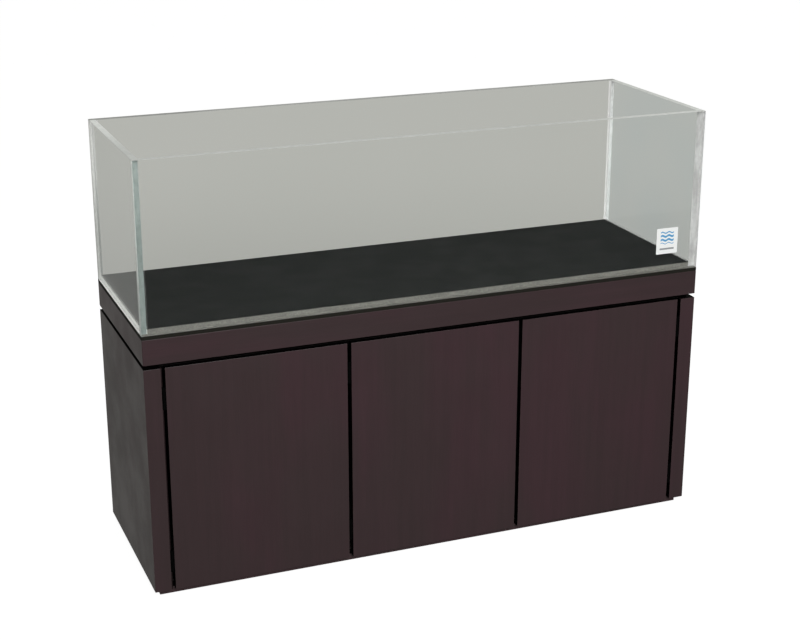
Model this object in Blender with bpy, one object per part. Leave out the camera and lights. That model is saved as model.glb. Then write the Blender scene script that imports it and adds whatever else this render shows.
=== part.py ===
"""Long aquarium stand cabinet with its rimless tank.

Metres, +X to the right, +Y to the back, +Z up. The origin is on the floor, in the middle of the
footprint. The doors are at -Y. Each separate board, pane and fitting is one object.
"""

import math

import bmesh
import bpy
from mathutils import Vector

# Driving dimensions
LENGTH = 1.830
DEPTH = 0.600
GAP = 0.0003
BOARD = 0.018
EDGE_ROUND = 0.001

PLINTH_HEIGHT = 0.0205
PLINTH_SIDE_INSET = 0.0185
PLINTH_FRONT_INSET = 0.021
RAIL_WIDTH = 0.060

CABINET_TOP = 0.7355
SIDE_THICKNESS = 0.0507
BACK_INSET = 0.020
BACK_RAIL_HEIGHT = 0.062
SERVICE_SLOT_HEIGHT = 0.075

NECK_HEIGHT = 0.013
NECK_SIDE_INSET = 0.017
NECK_FRONT_INSET = 0.021
APRON_HEIGHT = 0.0775
RIB_SPACING = 0.610
MAT_THICKNESS = 0.0115

TANK_HEIGHT = 0.514
TANK_INSET = 0.0004
PANE = 0.020
BASE_PANE = 0.015
FLOOR_SHEET = 0.002
PANE_ARRIS = 0.0008

DOOR_THICKNESS = 0.020
DOOR_BACK_CLEARANCE = 0.002
DOOR_GAP = 0.0127
DOOR_COUNT = 3

HINGE_HEIGHT = 0.070
HINGE_END_DISTANCE = 0.095
HINGE_AXIS_OUT = 0.006
HINGE_AXIS_BACK = 0.0035
LEAF_THICKNESS = 0.0016
LEAF_FRONT = 0.001
FIXED_LEAF_BACK = 0.052
DOOR_LEAF_BACK = 0.019
DIVIDER_FACE_OUT = 0.0115
KNUCKLE_RADIUS = 0.0032
KNUCKLE_COUNT = 5
KNUCKLE_STACK = 0.069
TAB_HALF_WIDTH = 0.0012
BORE_RADIUS = 0.0015
PIN_RADIUS = 0.0012
PIN_HEAD_RADIUS = 0.0026
PIN_HEAD_HEIGHT = 0.0015
ROUND_STEPS = 16

LATCH_FROM_DOOR_EDGE = 0.036
LATCH_WIDTH = 0.022
LATCH_HEIGHT = 0.016
LATCH_LENGTH = 0.064
LATCH_SETBACK = 0.030
LATCH_BORE_DEPTH = 0.034
LATCH_BORE_RADIUS = 0.0039
PLUNGER_RADIUS = 0.0035
PLUNGER_HEAD_RADIUS = 0.0052
PLUNGER_HEAD_LENGTH = 0.004
PLUNGER_LENGTH = 0.034

# Worked-out planes and levels
RIGHT = LENGTH / 2
FRONT = -DEPTH / 2
BACK = DEPTH / 2
INNER_RIGHT = RIGHT - SIDE_THICKNESS
CARCASS_FRONT = FRONT + DOOR_THICKNESS + DOOR_BACK_CLEARANCE
CARCASS_BACK = BACK - BACK_INSET
BACK_PANEL_FRONT = CARCASS_BACK - BOARD
UPPER_PANEL_BOTTOM = CABINET_TOP - BOARD
BACK_RAIL_BOTTOM = UPPER_PANEL_BOTTOM - BACK_RAIL_HEIGHT
TOP_BOX_BOTTOM = CABINET_TOP + NECK_HEIGHT
TOP_BOX_TOP = TOP_BOX_BOTTOM + APRON_HEIGHT
MAT_TOP = TOP_BOX_TOP + MAT_THICKNESS
TANK_TOP = MAT_TOP + TANK_HEIGHT
DOOR_WIDTH = (2 * INNER_RIGHT - (DOOR_COUNT + 1) * DOOR_GAP) / DOOR_COUNT
DIVIDER_INNER = DOOR_WIDTH / 2 + DIVIDER_FACE_OUT


def clear_scene():
    for existing in list(bpy.data.objects):
        bpy.data.objects.remove(existing, do_unlink=True)


def make_material(name, color, roughness, metallic=0.0, alpha=1.0):
    material = bpy.data.materials.new(name)
    material.use_nodes = True
    shader = material.node_tree.nodes["Principled BSDF"]
    shader.inputs["Base Color"].default_value = (*color, 1.0)
    shader.inputs["Roughness"].default_value = roughness
    shader.inputs["Metallic"].default_value = metallic
    shader.inputs["Alpha"].default_value = alpha
    material.diffuse_color = (*color, alpha)
    return material


def make_materials():
    return {
        "laminate": make_material("laminate", (0.043, 0.028, 0.031), 0.45),
        "carcass": make_material("carcass", (0.035, 0.030, 0.029), 0.60),
        "mat": make_material("mat", (0.010, 0.010, 0.009), 0.90),
        "glass": make_material("glass", (0.80, 0.88, 0.85), 0.05, alpha=0.35),
        "floor_sheet": make_material("floor_sheet", (0.020, 0.022, 0.021), 0.55),
        "hinge": make_material("hinge", (0.012, 0.012, 0.013), 0.40, metallic=0.6),
        "pin": make_material("pin", (0.45, 0.45, 0.46), 0.30, metallic=1.0),
        "latch": make_material("latch", (0.030, 0.030, 0.032), 0.50),
        "plunger": make_material("plunger", (0.55, 0.55, 0.53), 0.35),
    }


def new_object(name, mesh_builder, origin, material=None):
    """An object at origin, from a bmesh whose points are given in the part's own frame."""
    bmesh.ops.recalc_face_normals(mesh_builder, faces=mesh_builder.faces)
    bmesh.ops.translate(mesh_builder, vec=-Vector(origin), verts=mesh_builder.verts)
    mesh = bpy.data.meshes.new(name)
    mesh_builder.to_mesh(mesh)
    mesh_builder.free()
    piece = bpy.data.objects.new(name, mesh)
    piece.location = origin
    bpy.context.scene.collection.objects.link(piece)
    if material is not None:
        mesh.materials.append(material)
    return piece


def prism(outline, low_z, high_z):
    """A closed upright prism on a plan outline."""
    builder = bmesh.new()
    bottom = [builder.verts.new((x, y, low_z)) for x, y in outline]
    base = builder.faces.new(bottom)
    swept = bmesh.ops.extrude_face_region(builder, geom=[base])
    raised = [item for item in swept["geom"] if isinstance(item, bmesh.types.BMVert)]
    bmesh.ops.translate(builder, vec=(0, 0, high_z - low_z), verts=raised)
    return builder


def round_edges(piece, width):
    """Rounds a board's edges in two steps; a smaller width, on glass, stays a single flat arris."""
    bevel = piece.modifiers.new("edge_round", "BEVEL")
    bevel.width = width
    bevel.segments = 2 if width >= EDGE_ROUND else 1
    bevel.limit_method = "ANGLE"
    bevel.angle_limit = math.radians(40)


def board(name, low, high, material, edge=EDGE_ROUND, origin=None):
    """A rectangular board or pane between two corners, its edges eased."""
    outline = [(low[0], low[1]), (high[0], low[1]), (high[0], high[1]), (low[0], high[1])]
    middle = [(a + b) / 2 for a, b in zip(low, high)]
    piece = new_object(name, prism(outline, low[2], high[2]), origin or middle, material)
    if edge > 0:
        round_edges(piece, edge)
    return piece


def turned(name, profile, origin, along, material):
    """A round piece turned about a line through origin. The profile is (radius, distance) pairs
    from one end to the other; along is "Z" or "Y"."""
    builder = bmesh.new()
    rings = []
    for radius, distance in profile:
        ring = []
        for step in range(ROUND_STEPS):
            angle = 2 * math.pi * step / ROUND_STEPS
            across = (radius * math.cos(angle), radius * math.sin(angle))
            if along == "Z":
                point = (across[0], across[1], distance)
            else:
                point = (across[0], distance, across[1])
            ring.append(builder.verts.new(Vector(origin) + Vector(point)))
        rings.append(ring)
    for lower, upper in zip(rings, rings[1:]):
        for step in range(ROUND_STEPS):
            after = (step + 1) % ROUND_STEPS
            builder.faces.new((lower[step], lower[after], upper[after], upper[step]))
    builder.faces.new(rings[0])
    builder.faces.new(rings[-1])
    piece = new_object(name, builder, origin, material)
    if material is not None:
        piece.data.shade_smooth()
        piece.data.set_sharp_from_angle(angle=math.radians(35))
    return piece


def combine(piece, tool, operation):
    """Adds a Boolean with a hidden tool."""
    tool.hide_render = True
    tool.display_type = "WIRE"
    modifier = piece.modifiers.new(operation.lower(), "BOOLEAN")
    modifier.operation = operation
    modifier.solver = "EXACT"
    modifier.object = tool


def mirrored_pair(name, inner, outer, low, high, material):
    """Left and right copies of a board that spans inner to outer in X."""
    for side, label in ((-1, "left"), (1, "right")):
        ends = sorted((side * inner, side * outer))
        board(f"{label}_{name}", (ends[0], *low), (ends[1], *high), material)


def rail_frame(name, half_length, front, back, low_z, high_z, material):
    """A flat frame of four rails: the front and back ones run through, the side ones fit between."""
    board(
        f"{name}_front_rail",
        (-half_length, front, low_z),
        (half_length, front + RAIL_WIDTH, high_z),
        material,
    )
    board(
        f"{name}_back_rail",
        (-half_length, back - RAIL_WIDTH, low_z),
        (half_length, back, high_z),
        material,
    )
    mirrored_pair(
        f"{name}_rail",
        half_length - RAIL_WIDTH,
        half_length,
        (front + RAIL_WIDTH + GAP, low_z),
        (back - RAIL_WIDTH - GAP, high_z),
        material,
    )


def build_carcass(materials):
    laminate = materials["laminate"]
    carcass = materials["carcass"]
    mirrored_pair(
        "side_panel", INNER_RIGHT, RIGHT, (FRONT, PLINTH_HEIGHT), (BACK, CABINET_TOP), laminate
    )
    span = INNER_RIGHT - GAP
    floor_top = PLINTH_HEIGHT + BOARD
    board(
        "bottom_panel",
        (-span, CARCASS_FRONT, PLINTH_HEIGHT),
        (span, CARCASS_BACK, floor_top),
        carcass,
    )
    board(
        "upper_panel",
        (-span, CARCASS_FRONT, UPPER_PANEL_BOTTOM),
        (span, CARCASS_BACK, CABINET_TOP),
        carcass,
    )
    mirrored_pair(
        "divider",
        DIVIDER_INNER,
        DIVIDER_INNER + BOARD,
        (CARCASS_FRONT, floor_top + GAP),
        (BACK_PANEL_FRONT - GAP, UPPER_PANEL_BOTTOM - GAP),
        carcass,
    )
    board(
        "back_panel",
        (-span, BACK_PANEL_FRONT, floor_top + GAP),
        (span, CARCASS_BACK, BACK_RAIL_BOTTOM - SERVICE_SLOT_HEIGHT),
        carcass,
    )
    board(
        "back_rail",
        (-span, BACK_PANEL_FRONT, BACK_RAIL_BOTTOM),
        (span, CARCASS_BACK, UPPER_PANEL_BOTTOM - GAP),
        carcass,
    )


def build_plinth_and_neck(materials):
    rail_frame(
        "plinth",
        RIGHT - PLINTH_SIDE_INSET,
        FRONT + PLINTH_FRONT_INSET,
        BACK - PLINTH_SIDE_INSET,
        0.0,
        PLINTH_HEIGHT - GAP,
        materials["laminate"],
    )
    rail_frame(
        "neck",
        RIGHT - NECK_SIDE_INSET,
        FRONT + NECK_FRONT_INSET,
        BACK - NECK_SIDE_INSET,
        CABINET_TOP + GAP,
        TOP_BOX_BOTTOM - GAP,
        materials["carcass"],
    )


def mitred_apron(name, ends, outer, run_along_x, material):
    """An apron board with both ends cut at 45 degrees. outer is its outside plane."""
    inward = -BOARD if outer > 0 else BOARD
    trim = GAP / 2
    low, high = ends[0] + trim, ends[1] - trim
    outline = [
        (low, outer),
        (high, outer),
        (high - BOARD, outer + inward),
        (low + BOARD, outer + inward),
    ]
    if not run_along_x:
        outline = [(y, x) for x, y in outline]
    builder = prism(outline, TOP_BOX_BOTTOM, TOP_BOX_TOP)
    middle = [sum(point[axis] for point in outline) / 4 for axis in (0, 1)]
    piece = new_object(name, builder, (*middle, TOP_BOX_BOTTOM), material)
    round_edges(piece, EDGE_ROUND)


def build_top_box(materials):
    laminate = materials["laminate"]
    carcass = materials["carcass"]
    mitred_apron("front_apron", (-RIGHT + GAP, RIGHT - GAP), FRONT, True, laminate)
    mitred_apron("back_apron", (-RIGHT + GAP, RIGHT - GAP), BACK, True, laminate)
    mitred_apron("left_apron", (FRONT, BACK), -RIGHT, False, laminate)
    mitred_apron("right_apron", (FRONT, BACK), RIGHT, False, laminate)
    half_length = RIGHT - BOARD - GAP
    half_depth = BACK - BOARD - GAP
    floor_top = TOP_BOX_BOTTOM + BOARD
    lid_bottom = TOP_BOX_TOP - BOARD
    board(
        "top_box_floor",
        (-half_length, -half_depth, TOP_BOX_BOTTOM),
        (half_length, half_depth, floor_top),
        carcass,
    )
    board(
        "top_board",
        (-half_length, -half_depth, lid_bottom),
        (half_length, half_depth, TOP_BOX_TOP),
        carcass,
    )
    mirrored_pair(
        "top_box_rib",
        (RIB_SPACING - BOARD) / 2,
        (RIB_SPACING + BOARD) / 2,
        (-half_depth, floor_top + GAP),
        (half_depth, lid_bottom - GAP),
        carcass,
    )
    board(
        "leveling_mat",
        (-RIGHT, FRONT, TOP_BOX_TOP + GAP),
        (RIGHT, BACK, MAT_TOP - GAP),
        materials["mat"],
    )


def build_tank(materials):
    """Four walls that stand on the mat, the base pane between them and a black sheet on it."""
    glass = materials["glass"]
    half_length = RIGHT - TANK_INSET
    half_depth = BACK - TANK_INSET
    for side, label in ((-1, "front"), (1, "back")):
        ends = sorted((side * half_depth, side * (half_depth - PANE)))
        board(
            f"tank_{label}_pane",
            (-half_length, ends[0], MAT_TOP),
            (half_length, ends[1], TANK_TOP),
            glass,
            PANE_ARRIS,
        )
    inner_length = half_length - PANE - GAP
    inner_depth = half_depth - PANE - GAP
    for side, label in ((-1, "left"), (1, "right")):
        ends = sorted((side * half_length, side * (half_length - PANE)))
        board(
            f"tank_{label}_pane",
            (ends[0], -inner_depth, MAT_TOP),
            (ends[1], inner_depth, TANK_TOP),
            glass,
            PANE_ARRIS,
        )
    base_top = MAT_TOP + BASE_PANE
    board(
        "tank_base_pane",
        (-inner_length, -inner_depth, MAT_TOP),
        (inner_length, inner_depth, base_top),
        glass,
        PANE_ARRIS,
    )
    board(
        "tank_floor_sheet",
        (-inner_length, -inner_depth, base_top + GAP),
        (inner_length, inner_depth, base_top + GAP + FLOOR_SHEET),
        materials["floor_sheet"],
        0.0,
    )


def knuckle_outline(center, radius, reach, direction):
    """Round knuckle with a straight tab that reaches towards its leaf, in plan."""
    half_angle = math.asin(TAB_HALF_WIDTH / radius)
    points = []
    for step in range(ROUND_STEPS + 1):
        angle = half_angle + (2 * math.pi - 2 * half_angle) * step / ROUND_STEPS
        points.append((direction * radius * math.cos(angle), radius * math.sin(angle)))
    points.append((direction * reach, -TAB_HALF_WIDTH))
    points.append((direction * reach, TAB_HALF_WIDTH))
    return [(center[0] + x, center[1] + y) for x, y in points]


def hinge_leaf(name, axis, plate_x, plate_y, direction, knuckles, material):
    """A butt hinge leaf: a plate on one side of the pin and every other knuckle round it."""
    half = HINGE_HEIGHT / 2
    leaf = board(
        name,
        (plate_x[0], plate_y[0], axis[2] - half),
        (plate_x[1], plate_y[1], axis[2] + half),
        material,
        0.0,
        axis,
    )
    reach = abs(sum(plate_x) / 2 - axis[0])
    outline = knuckle_outline(axis, KNUCKLE_RADIUS, reach, direction)
    length = (KNUCKLE_STACK - (KNUCKLE_COUNT - 1) * GAP) / KNUCKLE_COUNT
    for index in knuckles:
        low = axis[2] - KNUCKLE_STACK / 2 + index * (length + GAP)
        tool = new_object(f"{name}_knuckle_{index}", prism(outline, low, low + length), axis)
        combine(leaf, tool, "UNION")
    bore = turned(f"{name}_bore", [(BORE_RADIUS, -half), (BORE_RADIUS, half)], axis, "Z", None)
    combine(leaf, bore, "DIFFERENCE")
    return leaf


def build_hinge(name, edge_x, side, support_out, center_z, materials):
    """One butt hinge in the gap beside a door. side is +1 where the door lies to the right of its
    hinge edge, and support_out is how far the fixed leaf's backing face is from that edge."""
    axis = (edge_x - side * HINGE_AXIS_OUT, FRONT + HINGE_AXIS_BACK, center_z)
    fixed_x = [edge_x - side * (support_out - GAP - t) for t in (0.0, LEAF_THICKNESS)]
    door_x = [edge_x - side * (GAP + t) for t in (0.0, LEAF_THICKNESS)]
    leaf_front = FRONT + LEAF_FRONT
    hinge_leaf(
        f"{name}_fixed_leaf",
        axis,
        sorted(fixed_x),
        (leaf_front, FRONT + FIXED_LEAF_BACK),
        -side,
        range(0, KNUCKLE_COUNT, 2),
        materials["hinge"],
    )
    hinge_leaf(
        f"{name}_door_leaf",
        axis,
        sorted(door_x),
        (leaf_front, FRONT + DOOR_LEAF_BACK),
        side,
        range(1, KNUCKLE_COUNT, 2),
        materials["hinge"],
    )
    shaft = KNUCKLE_STACK / 2 + GAP
    end = shaft + PIN_HEAD_HEIGHT
    profile = [
        (PIN_HEAD_RADIUS, -end),
        (PIN_HEAD_RADIUS, -shaft),
        (PIN_RADIUS, -shaft),
        (PIN_RADIUS, shaft),
        (PIN_HEAD_RADIUS, shaft),
        (PIN_HEAD_RADIUS, end),
    ]
    turned(f"{name}_pin", profile, axis, "Z", materials["pin"])


def build_latch(name, center_x, materials):
    """A push latch under the upper panel: a housing with a bore, and the plunger in it."""
    top = UPPER_PANEL_BOTTOM - GAP
    center_z = top - LATCH_HEIGHT / 2
    front = FRONT + LATCH_SETBACK
    housing = board(
        f"{name}_latch_housing",
        (center_x - LATCH_WIDTH / 2, front, top - LATCH_HEIGHT),
        (center_x + LATCH_WIDTH / 2, front + LATCH_LENGTH, top),
        materials["latch"],
    )
    mouth = (center_x, front, center_z)
    profile = [(LATCH_BORE_RADIUS, -LATCH_BORE_DEPTH), (LATCH_BORE_RADIUS, LATCH_BORE_DEPTH)]
    combine(housing, turned(f"{name}_latch_bore", profile, mouth, "Y", None), "DIFFERENCE")
    tip = (center_x, FRONT + DOOR_THICKNESS + DOOR_BACK_CLEARANCE / 2, center_z)
    profile = [
        (PLUNGER_HEAD_RADIUS, 0.0),
        (PLUNGER_HEAD_RADIUS, PLUNGER_HEAD_LENGTH),
        (PLUNGER_RADIUS, PLUNGER_HEAD_LENGTH),
        (PLUNGER_RADIUS, PLUNGER_LENGTH),
    ]
    turned(f"{name}_latch_plunger", profile, tip, "Y", materials["plunger"])


def build_doors(materials):
    """Three equal doors. The left and middle ones hinge at their left edge, the right one at its
    right edge. Each door's origin is on its hinge axis."""
    low_hinge = PLINTH_HEIGHT + HINGE_END_DISTANCE
    high_hinge = CABINET_TOP - HINGE_END_DISTANCE
    plans = (("left", 1, DOOR_GAP), ("middle", 1, DIVIDER_FACE_OUT), ("right", -1, DOOR_GAP))
    for index, (label, side, support_out) in enumerate(plans):
        left = -INNER_RIGHT + DOOR_GAP + index * (DOOR_WIDTH + DOOR_GAP)
        right = left + DOOR_WIDTH
        hinge_edge, free_edge = (left, right) if side > 0 else (right, left)
        axis_x = hinge_edge - side * HINGE_AXIS_OUT
        board(
            f"{label}_door",
            (left, FRONT, PLINTH_HEIGHT),
            (right, FRONT + DOOR_THICKNESS, CABINET_TOP),
            materials["laminate"],
            origin=(axis_x, FRONT + HINGE_AXIS_BACK, PLINTH_HEIGHT),
        )
        for height, level in ((low_hinge, "lower"), (high_hinge, "upper")):
            name = f"{label}_door_{level}_hinge"
            build_hinge(name, hinge_edge, side, support_out, height, materials)
        build_latch(f"{label}_door", free_edge - side * LATCH_FROM_DOOR_EDGE, materials)


def main():
    clear_scene()
    materials = make_materials()
    build_plinth_and_neck(materials)
    build_carcass(materials)
    build_top_box(materials)
    build_tank(materials)
    build_doors(materials)


main()
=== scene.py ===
"""Looks of the long aquarium stand cabinet and its rimless tank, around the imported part."""

import math

import bmesh
import bpy
from mathutils import Matrix, Vector


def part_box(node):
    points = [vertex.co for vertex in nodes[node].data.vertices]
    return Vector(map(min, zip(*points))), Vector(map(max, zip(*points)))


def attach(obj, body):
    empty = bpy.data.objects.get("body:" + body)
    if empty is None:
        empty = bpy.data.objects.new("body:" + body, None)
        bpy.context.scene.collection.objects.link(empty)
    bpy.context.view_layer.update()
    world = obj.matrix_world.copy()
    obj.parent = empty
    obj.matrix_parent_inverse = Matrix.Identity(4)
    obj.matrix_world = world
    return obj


MM = 0.001
DOORS = ("left", "middle", "right")
LEVELS = ("lower", "upper")

# The least part of a flat face's normal, the angle of a sharp edge, and a round corner's steps
FLAT = 0.99
SHARP_ANGLE = math.radians(35)
CORNER_STEPS = 5

# Camera
CAMERA_AZIMUTH = math.radians(-21.82)
CAMERA_ELEVATION = math.radians(18.939)
CAMERA_DISTANCE = 5.1857
CAMERA_LENS = 71.93
CAMERA_AIM = Vector((-0.0018, 0.0, 0.67764))

# The grey room round the cabinet, low and high at the back, at the left, and in front
WALL_LOW = (0.346, 0.350, 0.328, 1)
WALL_HIGH = (0.462, 0.467, 0.436, 1)
WALL_LEFT = (0.362, 0.368, 0.350, 1)
ROOM_FRONT = (0.20, 0.205, 0.20, 1)

# Directions, as parts of a unit vector, between which one of them turns into the next
WALL_RISE = (-0.36, -0.22)
LEFT_TURN = (-0.14, 0.16)
FRONT_TURN = (-0.6, 0.4)

# Near-black edge band, dark enough to paint the shade in the gaps, and how far back from the doors the
# side panels' linings are painted black as that shade
BLACK_LOW = (0.0010, 0.0008, 0.0008, 1)
BLACK_HIGH = (0.0022, 0.0016, 0.0016, 1)
REBATE_BACK = -0.275

# Low, so that the panes mirror as little as glass with a low-reflection finish
GLASS_IOR = 1.13

# Screw heads, as (radius, height)
FIXED_LEAF_SCREW = (3.0 * MM, 0.7 * MM)
DOOR_LEAF_SCREW = (2.4 * MM, 0.5 * MM)
STRIKE_SCREW = (2.0 * MM, 0.3 * MM)
LATCH_SCREW = (2.4 * MM, 0.5 * MM)
BACK_SCREW = (3.6 * MM, 0.9 * MM)

# Where the hinge leaves' screws sit
LEAF_THICKNESS = 1.6 * MM
SCREW_SPACING = 24 * MM
FIXED_SCREW_BACK = 20 * MM
FIXED_SCREW_MIDDLE_BACK = 8 * MM
DOOR_SCREW_BACK = 6 * MM

# Fittings on the doors' backs and screws of the latches and the back
STRIKE_WIDTH = 34 * MM
STRIKE_HEIGHT = 16 * MM
STRIKE_CORNER = 3 * MM
STRIKE_THICKNESS = 0.6 * MM
STRIKE_EASE = 0.2 * MM
STRIKE_SCREW_OFFSET = 12 * MM
BUMPER_INSET = 9 * MM
BUMPER_FROM_EDGE = 40 * MM
BUMPER_PROFILE = ((0, 0), (4.5, 0), (4.5, 0.7), (4.1, 1.3), (2.8, 1.65), (0, 1.75))
LATCH_SCREW_SHARES = (0.62, 0.90)
BACK_SCREW_SHARES = (0.08, 0.5, 0.92)

# Silicone beads
FRONT_BEAD_LEG = 4 * MM
BACK_BEAD_LEG = 6 * MM
FLOOR_BEAD_LEG = 3.5 * MM
BEAD_STEPS = 8
BEAD_TOP_GAP = 2 * MM
SEAM_OFF = 0.1 * MM

# Strip beside the left door, dark as painted shade in the gap there
STRIP_WIDTH = 3.5 * MM
STRIP_DEPTH = 12 * MM
STRIP_SETBACK = 2.5 * MM
STRIP_END_GAP = 1 * MM
STRIP_BEVEL = 0.6 * MM

# Label on the front pane, with its print as (low x, high x, low z, high z) from the middle
LABEL_X = 0.7995
LABEL_Z = 0.939
LABEL_WIDTH = 77 * MM
LABEL_HEIGHT = 85 * MM
LABEL_CORNER = 2.5 * MM
LABEL_THICKNESS = 0.25 * MM
LABEL_EASE = 0.08 * MM
LABEL_WAVE = 24 * MM
LABEL_WAVE_SWING = 2.2 * MM
LABEL_LINE_PITCH = 13 * MM
LABEL_WAVES_AREA = (-24 * MM, 24 * MM, -9 * MM, 30 * MM)
LABEL_BLOCK_AREA = (-26 * MM, 26 * MM, -29 * MM, -23 * MM)

# Studio floor and lights, as (name, place, size, power)
STAGE_HALF_SIZE = 20.0
STAGE_DROP = 0.5 * MM
STAGE_GLOW = 0.95
STAGE_MATT = (0.16, 0.16, 0.16, 1)
LIGHTS = (
    ("front_softbox", (-0.2, -5.0, 3.2), 3.2, 212),
    ("overhead_softbox", (0, 0.5, 4.2), 3.6, 40),
)
LIGHT_TARGET = (0, 0, 0.7)
WHITE = (1, 1, 1, 1)

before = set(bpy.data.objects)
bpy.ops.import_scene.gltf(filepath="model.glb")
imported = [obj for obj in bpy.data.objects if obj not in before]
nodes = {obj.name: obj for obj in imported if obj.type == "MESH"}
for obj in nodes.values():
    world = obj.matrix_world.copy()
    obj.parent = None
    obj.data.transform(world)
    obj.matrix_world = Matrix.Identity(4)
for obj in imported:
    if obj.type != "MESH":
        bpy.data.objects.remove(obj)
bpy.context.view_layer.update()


# ---------------------------------------------------------------- shader helpers


class Graph:
    """A node tree while it is being put together."""

    def __init__(self, owner):
        owner.use_nodes = True
        self.tree = owner.node_tree
        self.tree.nodes.clear()

    def node(self, kind, inputs=None, **settings):
        made = self.tree.nodes.new(kind)
        for key, value in settings.items():
            setattr(made, key, value)
        for key, value in (inputs or {}).items():
            if isinstance(value, bpy.types.NodeSocket):
                self.tree.links.new(value, made.inputs[key])
            else:
                made.inputs[key].default_value = value
        return made

    def remap(self, value, low, high, to_low=0.0, to_high=1.0):
        made = self.node(
            "ShaderNodeMapRange",
            {"Value": value, "From Min": low, "From Max": high, "To Min": to_low, "To Max": to_high},
            interpolation_type="SMOOTHSTEP",
        )
        return made.outputs["Result"]

    def blend(self, factor, a, b):
        """Colour a where the factor is 0 and colour b where it is 1."""
        made = self.node("ShaderNodeMix", {0: factor, 6: a, 7: b}, data_type="RGBA")
        return made.outputs[2]


class Shader(Graph):
    """A node material, placed by the object's own coordinates."""

    def __init__(self, name):
        self.material = bpy.data.materials.new(name)
        super().__init__(self.material)
        self.end = self.node("ShaderNodeOutputMaterial")
        self.place = self.node("ShaderNodeTexCoord").outputs["Object"]

    def noise(self, scale, detail=2.0, roughness=0.5, offset=(0, 0, 0)):
        """Noise with its own scale along each axis, in features per metre."""
        mapped = self.node(
            "ShaderNodeMapping", {"Vector": self.place, "Scale": scale, "Location": offset}
        )
        made = self.node(
            "ShaderNodeTexNoise",
            {"Vector": mapped.outputs[0], "Scale": 1.0, "Detail": detail, "Roughness": roughness},
        )
        return made.outputs["Fac"]

    def math(self, operation, a, b=0.0):
        return self.node("ShaderNodeMath", {0: a, 1: b}, operation=operation).outputs[0]

    def scaled(self, color, factor):
        """The colour made lighter or darker by a factor."""
        made = self.node(
            "ShaderNodeVectorMath", {0: color, "Scale": factor}, operation="SCALE"
        )
        return made.outputs[0]

    def along(self, axis, low, high):
        """0 to 1 between two places on an axis of the object."""
        place = self.node("ShaderNodeSeparateXYZ", {0: self.place}).outputs[axis]
        return self.remap(place, low, high)

    def bump(self, height, distance, strength=1.0):
        made = self.node(
            "ShaderNodeBump", {"Height": height, "Distance": distance, "Strength": strength}
        )
        return made.outputs["Normal"]

    def surface(self, **inputs):
        """A Principled BSDF; underscores in the names stand for spaces."""
        named = {key.replace("_", " "): value for key, value in inputs.items()}
        return self.node("ShaderNodeBsdfPrincipled", named).outputs["BSDF"]

    def done(self, shader):
        self.tree.links.new(shader, self.end.inputs["Surface"])
        return self.material


def rgb(red, green, blue):
    """A colour from sRGB values of 0 to 255."""
    linear = []
    for value in (red, green, blue):
        share = value / 255
        linear.append(share / 12.92 if share <= 0.04045 else ((share + 0.055) / 1.055) ** 2.4)
    return (*linear, 1.0)


# ---------------------------------------------------------------- materials


def laminate_material(name, grain, worn=False, shine=0.25, painted_light_factor=1.0):
    """Dark red-brown wood-grain laminate. grain is the axis, 0 to 2, that the grain runs along.
    painted_light_factor scales the whole colour into a lit or shaded copy: painted light or painted
    shade.
    """
    shader = Shader(name)

    def stretched(across, along):
        return [along if axis == grain else across for axis in range(3)]

    patches = shader.remap(shader.noise(stretched(3.4, 1.2), 3.0, 0.55), 0.40, 0.68)
    streaks = shader.remap(shader.noise(stretched(46, 1.4), 3.0, 0.6), 0.36, 0.66)
    fibres = shader.noise(stretched(620, 11), 2.0, 0.6, (0.3, 0.1, 0.2))
    color = shader.blend(patches, rgb(64.5, 50, 52), rgb(69.5, 49, 54))
    color = shader.blend(shader.math("MULTIPLY", streaks, 0.17), color, rgb(50, 42, 42))
    color = shader.blend(shader.remap(fibres, 0.30, 0.75, 0.0, 0.16), color, rgb(42, 34, 34))
    rough = shader.remap(shader.noise((7, 7, 7), 4.0, 0.6), 0.3, 0.7, 0.33, 0.42)
    if worn:
        rubbed = shader.remap(shader.noise((16, 16, 16), 4.0, 0.7), 0.44, 0.66)
        color = shader.blend(shader.math("MULTIPLY", rubbed, 0.4), color, rgb(98, 84, 82))
    # Painted light or shade: the whole colour made lighter or darker for a lit or shaded copy
    color = shader.scaled(color, painted_light_factor)
    normal = shader.bump(fibres, 0.00010, 0.35)
    return shader.done(
        shader.surface(
            Base_Color=color,
            Roughness=rough,
            Normal=normal,
            Specular_IOR_Level=shine,
            Specular_Tint=(0.94, 1.0, 0.98, 1),
        )
    )


def black_band_and_shade_material():
    """Black plastic edge band on the boards' narrow faces, near black so that it also serves as
    painted shade in the gaps, the reveal and under the top.
    """
    shader = Shader("black_band_and_shade")
    fine = shader.noise((500, 500, 60), 2.0)
    color = shader.blend(fine, BLACK_LOW, BLACK_HIGH)
    rough = shader.remap(fine, 0.3, 0.7, 0.55, 0.7)
    normal = shader.bump(fine, 0.00005, 0.3)
    return shader.done(
        shader.surface(
            Base_Color=color, Roughness=rough, Normal=normal, Specular_IOR_Level=0.03
        )
    )


def carcass_material(name, painted_shade_front=False):
    """Charcoal melamine board: a very fine pearl texture; where asked, painted black round the doors
    as the shade in the gaps.
    """
    shader = Shader(name)
    grain = shader.noise((900, 900, 900), 3.0, 0.6)
    cloud = shader.noise((4, 4, 4), 3.0)
    color = shader.blend(cloud, rgb(44, 42, 41), rgb(52, 49, 47))
    color = shader.blend(shader.remap(grain, 0.45, 0.75, 0.0, 0.25), color, rgb(66, 63, 61))
    shine = 0.35
    # Painted shade: black at the lining's front, where the gaps beside the doors are in shade
    if painted_shade_front:
        inward = shader.along("Y", REBATE_BACK - 2 * MM, REBATE_BACK)
        color = shader.blend(inward, BLACK_LOW, color)
        shine = shader.math("MULTIPLY", inward, shine)
    normal = shader.bump(grain, 0.00012, 0.4)
    rough = shader.remap(cloud, 0.3, 0.7, 0.5, 0.62)
    return shader.done(
        shader.surface(
            Base_Color=color, Roughness=rough, Normal=normal, Specular_IOR_Level=shine
        )
    )


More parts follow.
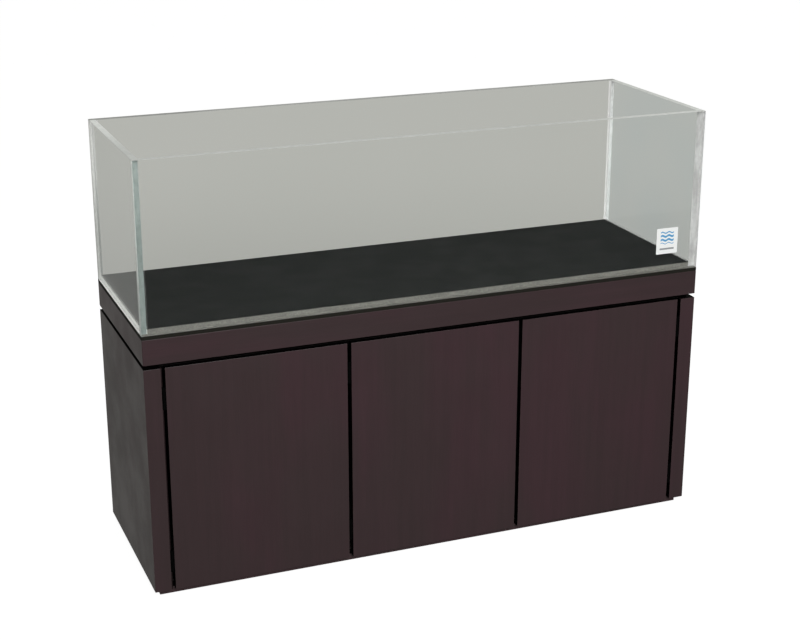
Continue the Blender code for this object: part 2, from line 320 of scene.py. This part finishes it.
def foam_material(name, dark, light, cell_size, depth):
    """Closed-cell foam or a matt sheet: small cells pressed into a dark surface."""
    shader = Shader(name)
    cells = shader.node(
        "ShaderNodeTexVoronoi",
        {"Vector": shader.place, "Scale": 1 / cell_size},
        feature="SMOOTH_F1",
    ).outputs["Distance"]
    cloud = shader.noise((9, 9, 9), 4.0, 0.6)
    color = shader.blend(cloud, dark, light)
    normal = shader.bump(cells, depth, 0.6)
    rough = shader.remap(cloud, 0.3, 0.7, 0.78, 0.92)
    return shader.done(
        shader.surface(
            Base_Color=color, Roughness=rough, Normal=normal, Specular_IOR_Level=0.12
        )
    )


def glass_material(name, tint):
    """Low-iron float glass with a low-reflection finish and the faintest tint."""
    shader = Shader(name)
    waves = shader.noise((3, 3, 3), 1.0)
    color = shader.blend(waves, (1.0, 1.0, 1.0, 1), tint)
    clear = shader.surface(
        Base_Color=color,
        Roughness=0.0,
        IOR=GLASS_IOR,
        Transmission_Weight=1.0,
    )
    passing = shader.node("ShaderNodeBsdfTransparent", {"Color": (0.90, 0.93, 0.92, 1)})
    shadow = shader.node("ShaderNodeLightPath").outputs["Is Shadow Ray"]
    mixed = shader.node("ShaderNodeMixShader", {0: shadow, 1: clear, 2: passing.outputs[0]})
    return shader.done(mixed.outputs[0])


def glass_edge_material(name, dull, bright, glow, patch_size=None, run=None):
    """A ground glass edge in painted light: it glows a little, as painted light for the light that the
    pane pipes to it.

    Its painted light and shade turn from dull to bright in patches, or along a run given as (axis,
    dull end, bright end).
    """
    shader = Shader(name)
    fine = shader.noise((420, 420, 420), 3.0, 0.7)
    if run:
        change = shader.along(*run)
    else:
        change = shader.remap(shader.noise([1 / size for size in patch_size]), 0.36, 0.64)
    # Painted light and shade: dull to bright by place
    color = shader.blend(change, dull, bright)
    color = shader.blend(shader.remap(fine, 0.45, 0.75, 0.0, 0.12), color, bright)
    flecks = shader.noise((110, 110, 75), 3.0, 0.65, (0.3, 0.7, 0.1))
    color = shader.scaled(color, shader.remap(flecks, 0.36, 0.60, 0.88, 1.04))
    normal = shader.bump(fine, 0.0002, 0.4)
    return shader.done(
        shader.surface(
            Base_Color=color,
            Roughness=0.35,
            Normal=normal,
            Specular_IOR_Level=0.4,
            # Painted light: the edge glows though it is no lamp
            Emission_Color=color,
            Emission_Strength=glow,
        )
    )


def silicone_material(name, alpha, glow, painted_shade_foot=False):
    """Clear silicone, milkier where it is thick, with a glow painted on as light from behind;
    painted_shade_foot makes it darker towards the bottom as painted shade.
    """
    shader = Shader(name)
    fine = shader.noise((60, 60, 60), 2.0)
    color = shader.blend(fine, rgb(184, 184, 182), rgb(197, 197, 195))
    # Painted shade: darker towards the foot
    if painted_shade_foot:
        color = shader.blend(shader.along("Z", 0.95, 1.28), rgb(120, 122, 119), color)
    normal = shader.bump(fine, 0.0002, 0.3)
    return shader.done(
        shader.surface(
            Base_Color=color,
            Roughness=0.30,
            Normal=normal,
            Alpha=alpha,
            # Painted light: the bead glows though it is no lamp
            Emission_Color=color,
            Emission_Strength=glow,
        )
    )


def metal_material(name, color_low, color_high, rough, scratch_axis, metallic=1.0, shine=0.5):
    """Plated or painted metal with fine brush lines across one axis."""
    shader = Shader(name)
    scale = [1500.0, 1500.0, 1500.0]
    scale[scratch_axis] = 40.0
    lines = shader.noise(scale, 3.0, 0.6)
    cloud = shader.noise((90, 90, 90), 3.0)
    color = shader.blend(cloud, color_low, color_high)
    roughness = shader.remap(lines, 0.3, 0.7, rough - 0.06, rough + 0.08)
    normal = shader.bump(lines, 0.00003, 0.3)
    return shader.done(
        shader.surface(
            Base_Color=color,
            Roughness=roughness,
            Normal=normal,
            Metallic=metallic,
            Specular_IOR_Level=shine,
        )
    )


def plastic_material(name, color_low, color_high, rough):
    """Moulded plastic with a spark-eroded texture."""
    shader = Shader(name)
    grain = shader.noise((1400, 1400, 1400), 2.0)
    cloud = shader.noise((40, 40, 40), 2.0)
    color = shader.blend(cloud, color_low, color_high)
    roughness = shader.remap(grain, 0.3, 0.7, rough - 0.05, rough + 0.05)
    normal = shader.bump(grain, 0.00005, 0.4)
    return shader.done(shader.surface(Base_Color=color, Roughness=roughness, Normal=normal))


def label_material():
    """White film with three plain blue waves over a pale grey block, with a faint painted glow as
    light.
    """
    shader = Shader("label_film")
    parts = shader.node("ShaderNodeSeparateXYZ", {0: shader.place}).outputs
    across = shader.math("SUBTRACT", parts["X"], LABEL_X)
    up = shader.math("SUBTRACT", parts["Z"], LABEL_Z)
    swing = shader.math("SINE", shader.math("MULTIPLY", across, 2 * math.pi / LABEL_WAVE))
    height = shader.math("SUBTRACT", up, shader.math("MULTIPLY", swing, LABEL_WAVE_SWING))
    ripple = shader.math("SINE", shader.math("MULTIPLY", height, 2 * math.pi / LABEL_LINE_PITCH))

    def inside(value, low, high):
        above = shader.math("GREATER_THAN", value, low)
        below = shader.math("LESS_THAN", value, high)
        return shader.math("MULTIPLY", above, below)

    def window(area, level):
        low_x, high_x, low_z, high_z = area
        return shader.math("MULTIPLY", inside(across, low_x, high_x), inside(level, low_z, high_z))

    lines = shader.remap(ripple, -0.25, 0.10)
    waves = shader.math("MULTIPLY", lines, window(LABEL_WAVES_AREA, height))
    block = window(LABEL_BLOCK_AREA, up)
    fine = shader.noise((300, 300, 300), 3.0)
    paper = shader.blend(fine, rgb(240, 242, 241), rgb(249, 250, 249))
    color = shader.blend(waves, paper, rgb(88, 158, 205))
    color = shader.blend(block, color, rgb(150, 154, 156))
    normal = shader.bump(fine, 0.00003, 0.3)
    return shader.done(
        shader.surface(
            Base_Color=color,
            Roughness=0.38,
            Normal=normal,
            Emission_Color=color,
            Emission_Strength=0.12,
        )
    )


materials = {
    "upright": laminate_material("laminate_upright", 2),
    "upright_edge": laminate_material("laminate_upright_edge", 2, True),
    # Painted shade: the side panels' outer faces are a slightly darker copy of the laminate
    "side": laminate_material("laminate_side", 2, shine=0.15, painted_light_factor=0.95),
    "level_x": laminate_material("laminate_along", 0),
    "level_x_edge": laminate_material("laminate_along_edge", 0, True),
    "level_y": laminate_material("laminate_across", 1, shine=0.17),
    "level_y_edge": laminate_material("laminate_across_edge", 1, True, shine=0.17),
    # Painted light: the recessed plinth is a lighter copy of the laminate, offsetting the shade under
    # the doors
    "plinth_x": laminate_material("laminate_plinth", 0, painted_light_factor=1.25),
    "plinth_y": laminate_material("laminate_plinth_side", 1, painted_light_factor=1.25),
    # Partly a real black band, partly painted shade: near black for the gaps, the neck and the
    # undersides
    "black_band_and_shade": black_band_and_shade_material(),
    "carcass": carcass_material("carcass_board"),
    # Painted shade: the lining is black at its front as the gaps' shade
    "lining": carcass_material("carcass_lining", True),
    "mat": foam_material("mat_foam", rgb(30, 29, 25), rgb(38, 37, 32), 0.0016, 0.0004),
    "floor_sheet": foam_material("tank_floor", rgb(25, 27, 26), rgb(27.5, 29.5, 28.5), 0.0009, 0.0002),
    "glass": glass_material("tank_glass", (0.985, 0.990, 0.985, 1)),
    "glass_side": glass_material("tank_glass_side", (0.885, 0.95, 0.985, 1)),
    # Painted light and shade: each ground glass edge gets its own brightness, glow and run from dull
    # to bright, as lit or shaded
    "edge_front_left": glass_edge_material(
        "glass_edge_green", rgb(108, 116, 113), rgb(119, 127, 124), 0.2, run=("Z", 1.10, 1.30)
    ),
    "edge_front_right": glass_edge_material(
        "glass_edge_lit_patches", rgb(138, 137, 136), rgb(158, 158, 157), 0.3, (0.02, 0.05, 0.07)
    ),
    "edge_outer_right": glass_edge_material(
        "glass_edge_outer", rgb(174, 174, 173), rgb(190, 190, 189), 0.5, (0.1, 0.1, 0.12)
    ),
    "edge_outer_left": glass_edge_material(
        "glass_edge_light", rgb(140, 144, 142), rgb(192, 195, 191), 0.5, run=("Z", 0.86, 1.18)
    ),
    "edge_far": glass_edge_material(
        "glass_edge_far", rgb(158, 158, 156), rgb(194, 194, 191), 0.5, run=("Z", 0.95, 1.28)
    ),
    "edge_back_right": glass_edge_material(
        "glass_edge_back_right_lit", rgb(186, 186, 184), rgb(198, 198, 195), 0.5, (0.1, 0.1, 0.12)
    ),
    "edge_top_front": glass_edge_material(
        "glass_edge_top_front", rgb(170, 172, 169), rgb(189, 191, 188), 0.25, run=("X", 0.3, 0.88)
    ),
    "edge_top_back": glass_edge_material(
        "glass_edge_top_back", rgb(127, 128, 125), rgb(152, 153, 150), 0.15, (0.25, 0.05, 0.05)
    ),
    "edge_top_left": glass_edge_material(
        "glass_edge_top_left", rgb(154, 156, 153), rgb(180, 182, 179), 0.5, run=("Y", -0.22, 0.22)
    ),
    "edge_top_right": glass_edge_material(
        "glass_edge_top_right", rgb(178, 180, 177), rgb(169, 171, 168), 0.5, run=("Y", -0.28, -0.20)
    ),
    "edge_base": glass_edge_material(
        "glass_edge_base", rgb(92, 91, 87), rgb(108, 107, 101), 0.2, (0.005, 0.005, 0.005)
    ),
    "edge_base_left": glass_edge_material(
        "glass_edge_base_side", rgb(176, 177, 174), rgb(190, 191, 188), 0.7, (0.02, 0.02, 0.02)
    ),
    # Painted light: the beads' glow; silicone_far also has painted shade at its foot
    "silicone_clear": silicone_material("silicone_clear", 0.05, 0.0),
    "silicone_lit_glow": silicone_material("silicone_lit_glow", 0.85, 0.5),
    "silicone_far": silicone_material("silicone_far", 0.85, 0.3, True),
    "silicone_floor": silicone_material("silicone_floor", 0.3, 0.05),
    # Partly a real black finish, partly painted shade: hinges and pins near black so they disappear in
    # the gaps' shade
    "hinge": metal_material(
        "hinge_black", rgb(4, 4, 4), rgb(8, 8, 8), 0.7, 2, metallic=0.0, shine=0.03
    ),
    "steel": metal_material("blackened_steel", rgb(34, 34, 35), rgb(48, 48, 49), 0.45, 2),
    "pin": metal_material("pin_steel", rgb(5, 5, 5), rgb(9, 9, 9), 0.6, 2),
    # Painted shade: the gap strip is a much darker copy of the laminate
    "strip": laminate_material("laminate_strip", 2, shine=0.05, painted_light_factor=0.35),
    "latch": plastic_material("latch_plastic", rgb(30, 30, 31), rgb(38, 38, 39), 0.5),
    "plunger": plastic_material("plunger_nylon", rgb(190, 190, 184), rgb(206, 206, 200), 0.4),
    "label": label_material(),
    "rubber": plastic_material("bumper_rubber", rgb(60, 60, 60), rgb(74, 74, 74), 0.6),
}


# ---------------------------------------------------------------- materials on the CAD nodes


def paint(name, choose):
    """Gives each face of a CAD node the material that choose(normal, centre) names."""
    mesh = nodes[name].data
    mesh.materials.clear()
    slots = {}
    for face in mesh.polygons:
        key = choose(face.normal, face.center)
        if key not in slots:
            slots[key] = len(slots)
            mesh.materials.append(materials[key])
        face.material_index = slots[key]


def facing(normal, axis, sign=0):
    """True for a face square to an axis, on one side of it where sign is given."""
    part = normal[axis]
    return abs(part) > FLAT if sign == 0 else part * sign > FLAT


def is_rounding(normal):
    return max(abs(part) for part in normal) < FLAT


def whole(key):
    """One material on every face."""
    return lambda normal, centre: key


def panel_faces(sign):
    """Side panel: grain outside with the outer side face a darker copy as painted shade, lining
    inside, and black band on the top and bottom edges, also painted shade.
    """

    def choose(normal, centre):
        if abs(normal.z) > 0.5:
            return "black_band_and_shade"
        if is_rounding(normal):
            return "upright_edge"
        if facing(normal, 0, -sign):
            return "lining"
        return "side" if facing(normal, 0, sign) else "upright"

    return choose


# Painted shade: all door faces but the front, back and front rounding take the near-black band, so the
# gaps read as deep shade
def door_faces(normal, centre):
    if is_rounding(normal):
        return "upright_edge" if normal.y < -0.5 else "black_band_and_shade"
    return "upright" if facing(normal, 1) else "black_band_and_shade"


def banded_faces(normal, centre):
    """Carcass board with a black front edge; the upper one is black on top, under the neck: both black
    as painted shade in the gaps.
    """
    if normal.y < -0.5 or (facing(normal, 2, 1) and centre.z > 0.5):
        return "black_band_and_shade"
    return "carcass"


# Painted shade: the apron's underside is near black over the reveal
def apron_faces(grain):
    def choose(normal, centre):
        if facing(normal, 2, -1):
            return "black_band_and_shade"
        return grain + "_edge" if is_rounding(normal) else grain

    return choose


def paint_case():
    """The boards of the stand and the mat."""
    for side, sign in (("left", -1), ("right", 1)):
        paint(f"{side}_side_panel", panel_faces(sign))
        paint(f"{side}_apron", apron_faces("level_y"))
        paint(f"{side}_divider", banded_faces)
        paint(f"{side}_top_box_rib", whole("carcass"))
        paint(f"{side}_plinth_rail", whole("plinth_y"))
        # Painted shade: the neck rails are near black as the reveal's shade
        paint(f"{side}_neck_rail", whole("black_band_and_shade"))
    for side in ("front", "back"):
        paint(f"{side}_apron", apron_faces("level_x"))
        paint(f"plinth_{side}_rail", whole("plinth_x"))
        paint(f"neck_{side}_rail", whole("black_band_and_shade"))
    for name in ("back_panel", "back_rail", "top_box_floor", "top_board"):
        paint(name, whole("carcass"))
    paint("bottom_panel", banded_faces)
    paint("upper_panel", banded_faces)
    paint("leveling_mat", whole("mat"))


def paint_doors():
    """The doors with their hinges and latches."""
    for label in DOORS:
        paint(f"{label}_door", door_faces)
        paint(f"{label}_door_latch_housing", whole("latch"))
        paint(f"{label}_door_latch_plunger", whole("plunger"))
        for level in LEVELS:
            hinge = f"{label}_door_{level}_hinge"
            paint(f"{hinge}_fixed_leaf", whole("hinge"))
            paint(f"{hinge}_door_leaf", whole("hinge"))
            paint(f"{hinge}_pin", whole("pin"))


def long_pane_faces(left_end, right_end, top):
    """Front or back pane: clear, with ground ends, top and foot coloured in painted light and shade.
    """

    def choose(normal, centre):
        if facing(normal, 1):
            return "glass"
        if normal.z < -0.5:
            return "edge_base"
        if normal.z > 0.5:
            return top
        return left_end if normal.x < 0 else right_end

    return choose


def end_pane_faces(glass, front_end, back_end, top, foot):
    """Left or right pane: clear, with ground ends, top and foot coloured in painted light and shade.
    """

    def choose(normal, centre):
        if facing(normal, 0):
            return glass
        if normal.z < -0.5:
            return foot
        if normal.z > 0.5:
            return top
        return front_end if normal.y < -0.5 else back_end

    return choose


# Painted light: the base pane's left edge is lit bright, the other edges painted shade between the
# black sheet and the mat
def base_pane_faces(normal, centre):
    if facing(normal, 2):
        return "glass"
    return "edge_base_left" if normal.x < -0.5 else "edge_base"


def paint_tank():
    front = long_pane_faces("edge_outer_left", "edge_outer_right", "edge_top_front")
    back = long_pane_faces("edge_far", "edge_back_right", "edge_top_back")
    left = end_pane_faces("glass", "edge_front_left", "edge_far", "edge_top_left", "edge_base_left")
    right = end_pane_faces(
        "glass_side", "edge_front_right", "edge_back_right", "edge_top_right", "edge_base"
    )
    paint("tank_front_pane", front)
    paint("tank_back_pane", back)
    paint("tank_left_pane", left)
    paint("tank_right_pane", right)
    paint("tank_base_pane", base_pane_faces)
    paint("tank_floor_sheet", whole("floor_sheet"))


# ---------------------------------------------------------------- small fittings and seams


def add_piece(name, builder, key, body):
    """Turns a bmesh in the row frame into a piece that rides on a CAD body."""
    bmesh.ops.recalc_face_normals(builder, faces=builder.faces)
    mesh = bpy.data.meshes.new(name)
    builder.to_mesh(mesh)
    builder.free()
    mesh.materials.append(materials[key])
    mesh.shade_smooth()
    mesh.set_sharp_from_angle(angle=SHARP_ANGLE)
    piece = bpy.data.objects.new(name, mesh)
    bpy.context.scene.collection.objects.link(piece)
    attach(piece, body)


def turn_to(axis, sign):
    """Rotation that takes +Z to the given axis and sign."""
    direction = Vector((0, 0, 0))
    direction[axis] = sign
    return direction.to_track_quat("Z", "Y").to_matrix().to_4x4()


def skin(builder, loops):
    """Joins equal loops of vertices into a closed solid with a flat face at each end."""
    count = len(loops[0])
    for first, second in zip(loops, loops[1:]):
        for step in range(count):
            after = (step + 1) % count
            builder.faces.new((first[step], first[after], second[after], second[step]))
    builder.faces.new(loops[0])
    builder.faces.new(loops[-1])


def lathe(builder, profile, place, steps=28):
    """Adds a closed turned solid. The profile is (radius, height) pairs from the axis to the axis."""
    rings = []
    for radius, height in profile:
        if radius == 0:
            rings.append([builder.verts.new(place @ Vector((0, 0, height)))])
            continue
        ring = []
        for step in range(steps):
            angle = 2 * math.pi * step / steps
            point = Vector((radius * math.cos(angle), radius * math.sin(angle), height))
            ring.append(builder.verts.new(place @ point))
        rings.append(ring)
    for first, second in zip(rings, rings[1:]):
        for step in range(steps):
            after = (step + 1) % steps
            corners = [first[step % len(first)], first[after % len(first)]]
            corners += [second[after % len(second)], second[step % len(second)]]
            face = list(dict.fromkeys(corners))
            builder.faces.new(face)


def screw_head(builder, place, radius, height, steps=32):
    """Adds a pan head with a cross recess, standing on the plane z = 0 of its place."""
    arm = 0.20 * radius
    reach = 0.62 * radius

    def cross(angle):
        """Distance from the axis to the edge of the cross in this direction."""
        turned = angle % (math.pi / 2)
        turned = min(turned, math.pi / 2 - turned)
        along = reach / max(math.cos(turned), 1e-6)
        side = arm / max(math.sin(turned), 1e-6)
        return min(along, side)

    def rim(angle):
        return radius

    # Base, wall and shoulder of the head, then lip and foot of the recess
    rings = (
        (rim, 1.0, 0.0),
        (rim, 1.0, 0.45),
        (rim, 0.84, 0.88),
        (cross, 1.0, 1.0),
        (cross, 0.9, 0.25),
    )
    loops = []
    for outline, share, level in rings:
        ring = []
        for step in range(steps):
            angle = 2 * math.pi * step / steps
            distance = share * outline(angle)
            flat = (distance * math.cos(angle), distance * math.sin(angle))
            ring.append(builder.verts.new(place @ Vector((*flat, level * height))))
        loops.append(ring)
    skin(builder, loops)


def rounded_plate(builder, place, width, height, corner, thickness, ease):
    """Adds a thin plate with round corners and an eased front edge, in the place's XY plane."""
    levels = ((0.0, 0.0), (thickness - ease, 0.0), (thickness, ease))
    loops = []
    for level, inset in levels:
        ring = []
        for quarter in range(4):
            sign_x = 1 if quarter in (0, 3) else -1
            sign_y = 1 if quarter in (0, 1) else -1
            for step in range(CORNER_STEPS + 1):
                angle = math.pi / 2 * (quarter + step / CORNER_STEPS)
                x = sign_x * (width / 2 - corner) + (corner - inset) * math.cos(angle)
                y = sign_y * (height / 2 - corner) + (corner - inset) * math.sin(angle)
                ring.append(builder.verts.new(place @ Vector((x, y, level))))
        loops.append(ring)
    skin(builder, loops)


def hinge_side(label):
    """+1 where the door lies to the right of its hinge edge, -1 where it lies to the left."""
    return -1 if label == "right" else 1


def add_hinge_screws():
    """Screws through both leaves of each hinge."""
    for label in DOORS:
        side = hinge_side(label)
        for level in LEVELS:
            hinge = f"{label}_door_{level}_hinge"
            low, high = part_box(f"{hinge}_fixed_leaf")
            middle_z = (low.z + high.z) / 2
            plate_x = (low.x if side > 0 else high.x) + side * LEAF_THICKNESS
            builder = bmesh.new()
            for step in (-1, 0, 1):
                back = FIXED_SCREW_BACK if step else FIXED_SCREW_MIDDLE_BACK
                spot = Vector((plate_x, high.y - back, middle_z + step * SCREW_SPACING))
                place = Matrix.Translation(spot) @ turn_to(0, side)
                screw_head(builder, place, *FIXED_LEAF_SCREW)
            add_piece(f"{hinge}_fixed_screws", builder, "hinge", "stand")
            low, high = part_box(f"{hinge}_door_leaf")
            plate_x = (high.x if side > 0 else low.x) - side * LEAF_THICKNESS
            builder = bmesh.new()
            for step in (-1, 0, 1):
                spot = Vector((plate_x, high.y - DOOR_SCREW_BACK, middle_z + step * SCREW_SPACING))
                place = Matrix.Translation(spot) @ turn_to(0, -side)
                screw_head(builder, place, *DOOR_LEAF_SCREW)
            add_piece(f"{hinge}_door_screws", builder, "hinge", f"{label}_door")


def add_strike(label):
    """The steel plate on a door's back that the latch pushes on, and its two screws."""
    tip_low, tip_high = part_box(f"{label}_door_latch_plunger")
    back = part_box(f"{label}_door")[1].y
    strike = Vector(((tip_low.x + tip_high.x) / 2, back, (tip_low.z + tip_high.z) / 2))
    builder = bmesh.new()
    rounded_plate(
        builder,
        Matrix.Translation(strike) @ turn_to(1, 1),
        STRIKE_WIDTH,
        STRIKE_HEIGHT,
        STRIKE_CORNER,
        STRIKE_THICKNESS,
        STRIKE_EASE,
    )
    add_piece(f"{label}_door_strike_plate", builder, "steel", f"{label}_door")
    builder = bmesh.new()
    for step in (-1, 1):
        spot = strike + Vector((step * STRIKE_SCREW_OFFSET, STRIKE_THICKNESS, 0))
        screw_head(builder, Matrix.Translation(spot) @ turn_to(1, 1), *STRIKE_SCREW)
    add_piece(f"{label}_door_strike_screws", builder, "steel", f"{label}_door")


def add_bumpers(label):
    """Two rubber domes on a door's back, near its free edge."""
    side = hinge_side(label)
    low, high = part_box(f"{label}_door")
    free_x = high.x if side > 0 else low.x
    profile = [(radius * MM, height * MM) for radius, height in BUMPER_PROFILE]
    for level, height in (("lower", low.z + BUMPER_INSET), ("upper", high.z - BUMPER_INSET)):
        builder = bmesh.new()
        spot = Vector((free_x - side * BUMPER_FROM_EDGE, high.y, height))
        lathe(builder, profile, Matrix.Translation(spot) @ turn_to(1, 1))
        add_piece(f"{label}_door_{level}_bumper", builder, "rubber", f"{label}_door")


def add_latch_screws(label):
    """Two screws through a latch housing's underside."""
    low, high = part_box(f"{label}_door_latch_housing")
    builder = bmesh.new()
    for share in LATCH_SCREW_SHARES:
        spot = Vector(((low.x + high.x) / 2, low.y + share * (high.y - low.y), low.z))
        screw_head(builder, Matrix.Translation(spot) @ turn_to(2, -1), *LATCH_SCREW)
    add_piece(f"{label}_door_latch_screws", builder, "hinge", "stand")


def add_door_hardware():
    for label in DOORS:
        add_strike(label)
        add_bumpers(label)
        add_latch_screws(label)


def add_gap_strip():
    """A narrow strip up the left side panel's inner edge, stopped short of the hinges, dark as painted
    shade in the gap.
    """
    panel_low, panel_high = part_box("left_side_panel")
    breaks = [panel_low.z + STRIP_END_GAP]
    for level in LEVELS:
        low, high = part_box(f"left_door_{level}_hinge_fixed_leaf")
        breaks += [low.z - STRIP_END_GAP, high.z + STRIP_END_GAP]
    breaks.append(panel_high.z - STRIP_END_GAP)
    left = panel_high.x + SEAM_OFF
    front = panel_low.y + STRIP_SETBACK
    builder = bmesh.new()
    for low, high in zip(breaks[0::2], breaks[1::2]):
        size = Vector((STRIP_WIDTH, STRIP_DEPTH, high - low))
        middle = Vector((left, front, low)) + size / 2
        place = Matrix.Translation(middle) @ Matrix.Diagonal((*size, 1))
        bmesh.ops.create_cube(builder, size=1.0, matrix=place)
    bmesh.ops.bevel(
        builder,
        geom=builder.edges[:],
        offset=STRIP_BEVEL,
        segments=2,
        affect="EDGES",
        profile=0.5,
    )
    add_piece("left_gap_strip", builder, "strip", "stand")


def add_back_screws():
    """Screws that hold the back panel and the back rail to the dividers."""
    panel_low, panel_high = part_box("back_panel")
    rail_low, rail_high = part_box("back_rail")
    rows = [panel_low.z + share * (panel_high.z - panel_low.z) for share in BACK_SCREW_SHARES]
    rows.append((rail_low.z + rail_high.z) / 2)
    for side in ("left", "right"):
        low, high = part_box(f"{side}_divider")
        builder = bmesh.new()
        for height in rows:
            spot = Vector(((low.x + high.x) / 2, panel_high.y, height))
            screw_head(builder, Matrix.Translation(spot) @ turn_to(1, 1), *BACK_SCREW)
        add_piece(f"{side}_back_screws", builder, "steel", "stand")


def bead(name, corner, toward, run, length, leg, key):
    """A concave bead of silicone in a corner line of the tank.

    corner is where the line starts, toward are the two unit vectors along its legs, and the bead
    goes on for a length in the direction run.
    """
    outline = [(SEAM_OFF, SEAM_OFF)]
    for step in range(BEAD_STEPS + 1):
        angle = math.pi / 2 * step / BEAD_STEPS
        first = SEAM_OFF + leg * (1 - math.sin(angle))
        second = SEAM_OFF + leg * (1 - math.cos(angle))
        outline.append((first, second))
    builder = bmesh.new()
    loops = []
    for end in (corner, corner + run * length):
        points = [end + toward[0] * first + toward[1] * second for first, second in outline]
        loops.append([builder.verts.new(point) for point in points])
    skin(builder, loops)
    add_piece(name, builder, key, "stand")


def add_silicone():
    """Beads up the tank's four inner corners and along the two ends of its floor."""
    floor_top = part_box("tank_floor_sheet")[1].z
    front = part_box("tank_front_pane")[1]
    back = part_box("tank_back_pane")[0]
    foot = floor_top + SEAM_OFF
    rise = front.z - BEAD_TOP_GAP - foot
    along_y = Vector((0, 1, 0))
    up = Vector((0, 0, 1))
    ends = (
        ("left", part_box("tank_left_pane")[1].x, 1, "silicone_far"),
        ("right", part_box("tank_right_pane")[0].x, -1, "silicone_lit_glow"),
    )
    for side, x, sign, key in ends:
        inward = Vector((sign, 0, 0))
        corner = Vector((x, front.y, foot))
        name = f"silicone_bead_front_{side}"
        bead(name, corner, (inward, along_y), up, rise, FRONT_BEAD_LEG, "silicone_clear")
        corner = Vector((x, back.y, foot))
        name = f"silicone_bead_back_{side}"
        bead(name, corner, (inward, -along_y), up, rise, BACK_BEAD_LEG, key)
        corner = Vector((x, front.y + FRONT_BEAD_LEG + 2 * SEAM_OFF, foot))
        length = back.y - BACK_BEAD_LEG - 2 * SEAM_OFF - corner.y
        name = f"floor_bead_{side}"
        bead(name, corner, (up, inward), along_y, length, FLOOR_BEAD_LEG, "silicone_floor")


def add_label():
    """A small plain care label on the front pane, lower right."""
    low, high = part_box("tank_front_pane")
    center = Vector((LABEL_X, low.y, LABEL_Z))
    builder = bmesh.new()
    place = Matrix.Translation(center) @ turn_to(1, -1)
    rounded_plate(
        builder, place, LABEL_WIDTH, LABEL_HEIGHT, LABEL_CORNER, LABEL_THICKNESS, LABEL_EASE
    )
    add_piece("care_label", builder, "label", "stand")


# ---------------------------------------------------------------- stage, light, camera


def stage_material():
    """White to the eye, with a faint contact shadow; everything else sees past it."""
    shader = Shader("stage_floor")
    path = shader.node("ShaderNodeLightPath").outputs["Is Camera Ray"]
    glow = shader.node("ShaderNodeEmission", {"Color": WHITE, "Strength": STAGE_GLOW})
    matt = shader.node("ShaderNodeBsdfDiffuse", {"Color": STAGE_MATT})
    seen = shader.node("ShaderNodeAddShader", {0: glow.outputs[0], 1: matt.outputs[0]})
    past = shader.node("ShaderNodeBsdfTransparent")
    mixed = shader.node("ShaderNodeMixShader", {0: path, 1: past.outputs[0], 2: seen.outputs[0]})
    return shader.done(mixed.outputs[0])


def build_stage():
    builder = bmesh.new()
    bmesh.ops.create_grid(builder, x_segments=1, y_segments=1, size=STAGE_HALF_SIZE)
    mesh = bpy.data.meshes.new("stage_floor")
    builder.to_mesh(mesh)
    builder.free()
    floor = bpy.data.objects.new("stage_floor", mesh)
    floor.location = (0, 0, -STAGE_DROP)
    mesh.materials.append(stage_material())
    bpy.context.scene.collection.objects.link(floor)


def build_world():
    """A white studio to the camera; a grey room, darker towards the front, to the glass and wood."""
    world = bpy.data.worlds.new("studio")
    bpy.context.scene.world = world
    graph = Graph(world)
    direction = graph.node("ShaderNodeTexCoord").outputs["Generated"]
    parts = graph.node("ShaderNodeSeparateXYZ", {0: direction}).outputs
    wall = graph.blend(graph.remap(parts["Z"], *WALL_RISE), WALL_LOW, WALL_HIGH)
    wall = graph.blend(graph.remap(parts["X"], *LEFT_TURN), WALL_LEFT, wall)
    room = graph.blend(graph.remap(parts["Y"], *FRONT_TURN), ROOM_FRONT, wall)
    to_camera = graph.node("ShaderNodeLightPath").outputs["Is Camera Ray"]
    seen = graph.blend(to_camera, room, WHITE)
    background = graph.node("ShaderNodeBackground", {"Color": seen, "Strength": 1.0})
    graph.node("ShaderNodeOutputWorld", {"Surface": background.outputs[0]})


def build_lights():
    """Square softboxes that face the cabinet."""
    for name, place, size, power in LIGHTS:
        data = bpy.data.lights.new(name, "AREA")
        data.shape = "SQUARE"
        data.size = size
        data.energy = power
        lamp = bpy.data.objects.new(name, data)
        lamp.location = place
        toward = Vector(LIGHT_TARGET) - Vector(place)
        lamp.rotation_euler = toward.to_track_quat("-Z", "Y").to_euler()
        bpy.context.scene.collection.objects.link(lamp)


def build_camera():
    back = Vector(
        (
            math.sin(CAMERA_AZIMUTH) * math.cos(CAMERA_ELEVATION),
            -math.cos(CAMERA_AZIMUTH) * math.cos(CAMERA_ELEVATION),
            math.sin(CAMERA_ELEVATION),
        )
    )
    data = bpy.data.cameras.new("camera")
    data.lens = CAMERA_LENS
    data.sensor_width = 36.0
    camera = bpy.data.objects.new("camera", data)
    camera.location = CAMERA_AIM + back * CAMERA_DISTANCE
    camera.rotation_euler = (-back).to_track_quat("-Z", "Y").to_euler()
    bpy.context.scene.collection.objects.link(camera)
    bpy.context.scene.camera = camera


# ---------------------------------------------------------------- the whole scene


paint_case()
paint_doors()
paint_tank()
add_hinge_screws()
add_door_hardware()
add_gap_strip()
add_back_screws()
add_silicone()
add_label()
build_stage()
build_world()
build_lights()
build_camera()
bpy.context.scene.view_settings.view_transform = "Standard"
